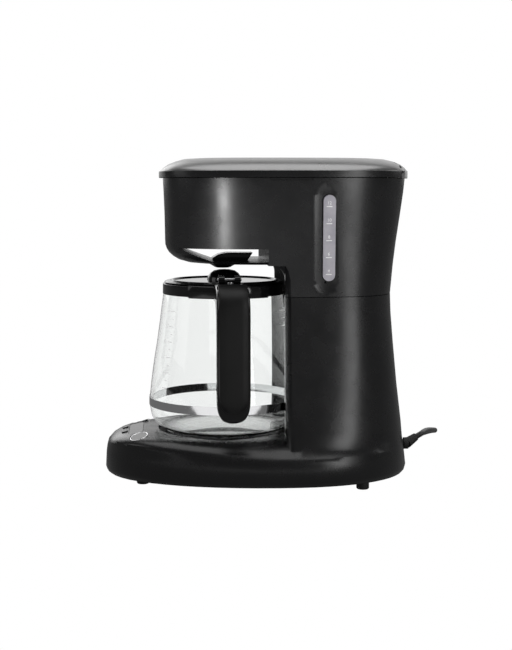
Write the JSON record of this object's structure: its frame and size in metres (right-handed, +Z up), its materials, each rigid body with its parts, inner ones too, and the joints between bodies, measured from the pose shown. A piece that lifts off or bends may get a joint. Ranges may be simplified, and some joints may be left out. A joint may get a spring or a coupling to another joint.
{
  "type": "drip coffee maker",
  "caption": "Drip coffee maker: black moulded housing with warming plate, hinged silver lid over tank and basket, and a glass carafe with handle.",
  "frame": {"origin": "on the table, under the middle of the machine with its carafe handle, the cord left out", "axes": "+Z up; the front faces -Y; +X is the side that the carafe handle points to"},
  "size_m": [0.309, 0.3797, 0.334],
  "materials": {
    "housing_black": "satin moulded, fine grain",
    "trim_black": "glossy",
    "rubber_black": "matte",
    "screw_steel": "plated",
    "lid_silver": "metallic grey, satin",
    "tank_grey": "smoked translucent",
    "window_clear": "milky translucent",
    "plate_enamel": "non-stick coated",
    "aluminium_raw": "cast and drawn",
    "silicone_white": "translucent silicone",
    "nylon_white": "natural",
    "inner_black": "moulded",
    "mesh_gold": "woven mesh",
    "chrome_trim": "polished",
    "board_green": "solder mask",
    "clear_glass": "clear",
    "cord_black": "satin vinyl",
    "blade_brass": "nickel washed",
    "fuse_grey": "sleeved"
  },
  "bodies": {
    "housing": {"base_housing": "housing_black", "bottom_cover": "inner_black", "rubber_feet": "rubber_black", "cover_screws": "screw_steel", "upper_housing": "housing_black", "water_tank": "tank_grey", "level_window": "window_clear", "tank_outlet": "silicone_white", "warming_plate": "plate_enamel", "plate_ring": "rubber_black", "heating_element": "aluminium_raw", "element_clamp": "screw_steel", "thermostat": "aluminium_raw", "thermal_fuse": "fuse_grey", "cold_hose": "silicone_white", "check_valve": "nylon_white", "hot_hose": "silicone_white", "riser_tube": "nylon_white", "filter_basket": "inner_black", "basket_handle": "inner_black", "mesh_filter": "mesh_gold", "valve_guard": "trim_black", "drip_cup": "trim_black", "valve_spring": "screw_steel", "hinge_cover": "lid_silver", "hinge_pin": "screw_steel", "panel_lens": "trim_black", "clock_display": "trim_black", "circuit_board": "board_green", "button_rings": "chrome_trim", "cord_bushing": "rubber_black", "power_cord": "cord_black", "cord_coil": "cord_black", "cord_tie": "rubber_black", "plug_body": "cord_black", "plug_blades": "blade_brass"},
    "top_lid": {"lid_frame": "housing_black", "lid_cover": "lid_silver", "spray_head": "inner_black"},
    "carafe": {"carafe_glass": "clear_glass", "carafe_band": "chrome_trim", "carafe_collar": "trim_black", "carafe_handle": "trim_black", "handle_inlay": "housing_black", "handle_screw": "screw_steel", "carafe_lid": "trim_black", "lid_hinge_pin": "screw_steel"},
    "drip_valve": {"drip_valve": "trim_black"},
    "check_ball": {"check_ball": "screw_steel"},
    "brew_button": {"brew_button": "trim_black"},
    "program_button": {"program_button": "trim_black"},
    "hour_button": {"hour_button": "trim_black"},
    "minute_button": {"minute_button": "trim_black"}
  },
  "joints": [
    {"name": "top_lid_hinge", "type": "hinge", "parent": "housing", "child": "top_lid", "pos_m": [-0.01, 0.145, 0.325], "axis": [-1, 0, 0], "range_deg": [0, 85]},
    {"name": "carafe_slide", "type": "slide", "parent": "housing", "child": "carafe", "axis": [0, -0.9945, 0.1045], "range_m": [0, 0.22]},
    {"name": "drip_valve_lift", "type": "slide", "parent": "housing", "child": "drip_valve", "axis": [0, 0, 1], "range_m": [0, 0.002], "stiffness_N_per_m": 150, "springref_m": -0.003, "deforming": ["valve_spring"]},
    {"name": "check_ball_travel", "type": "slide", "parent": "housing", "child": "check_ball", "axis": [0, -1, 0], "range_m": [0, 0.004]},
    {"name": "brew_button_press", "type": "slide", "parent": "housing", "child": "brew_button", "axis": [-0.2008, 0.2588, -0.9448], "range_m": [0, 0.0012], "stiffness_N_per_m": 400, "springref_m": -0.0004},
    {"name": "program_button_press", "type": "slide", "parent": "housing", "child": "program_button", "axis": [0.2008, 0.2588, -0.9448], "range_m": [0, 0.0012], "stiffness_N_per_m": 400, "springref_m": -0.0004},
    {"name": "hour_button_press", "type": "slide", "parent": "housing", "child": "hour_button", "axis": [0, 0.2504, -0.9681], "range_m": [0, 0.0008], "stiffness_N_per_m": 400, "springref_m": -0.0004},
    {"name": "minute_button_press", "type": "slide", "parent": "housing", "child": "minute_button", "axis": [0, 0.2504, -0.9681], "range_m": [0, 0.0008], "stiffness_N_per_m": 400, "springref_m": -0.0004}
  ]
}
